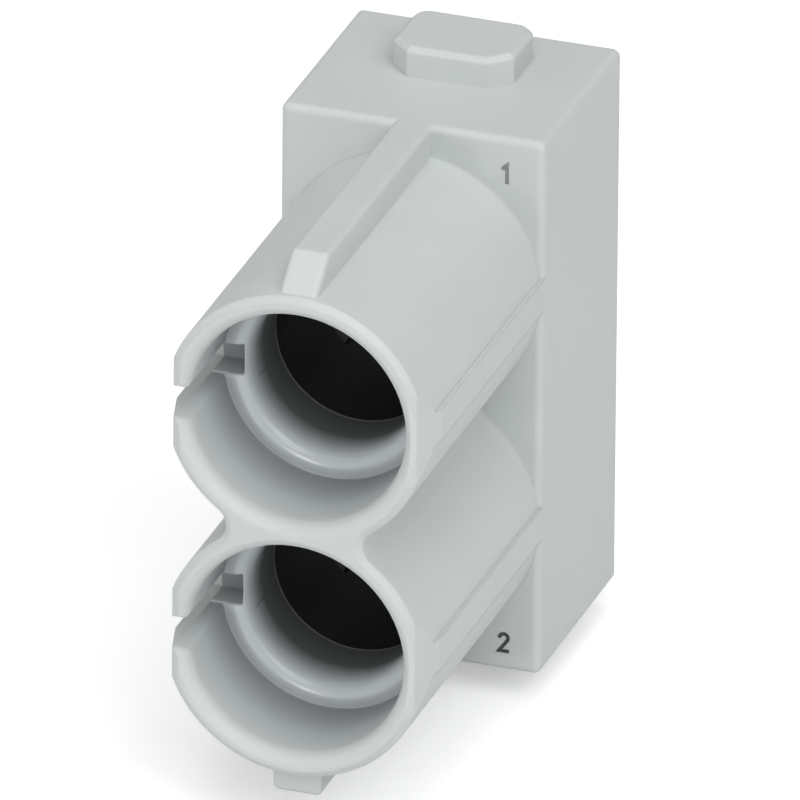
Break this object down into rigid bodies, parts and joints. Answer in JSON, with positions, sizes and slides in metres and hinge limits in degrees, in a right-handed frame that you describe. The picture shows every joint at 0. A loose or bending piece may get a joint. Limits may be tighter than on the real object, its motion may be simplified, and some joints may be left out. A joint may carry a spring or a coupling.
{
  "type": "connector contact insert",
  "caption": "Rectangular power connector insert with round socket sleeves on a latching block; holds crimped contacts.",
  "frame": {"origin": "middle of the block's cable-side face", "axes": "+Z along the row of contacts, +Y out of the cable side, sleeves towards -Y, +X across the insert to the right as seen from the mating side"},
  "size_m": [0.0148, 0.0315, 0.0346],
  "materials": {
    "housing": "fine matte moulded",
    "retainer": "matte moulded"
  },
  "bodies": {
    "root": {"insert_body": "housing", "contact_retainer_upper": "retainer", "contact_retainer_lower": "retainer"}
  },
  "joints": []
}
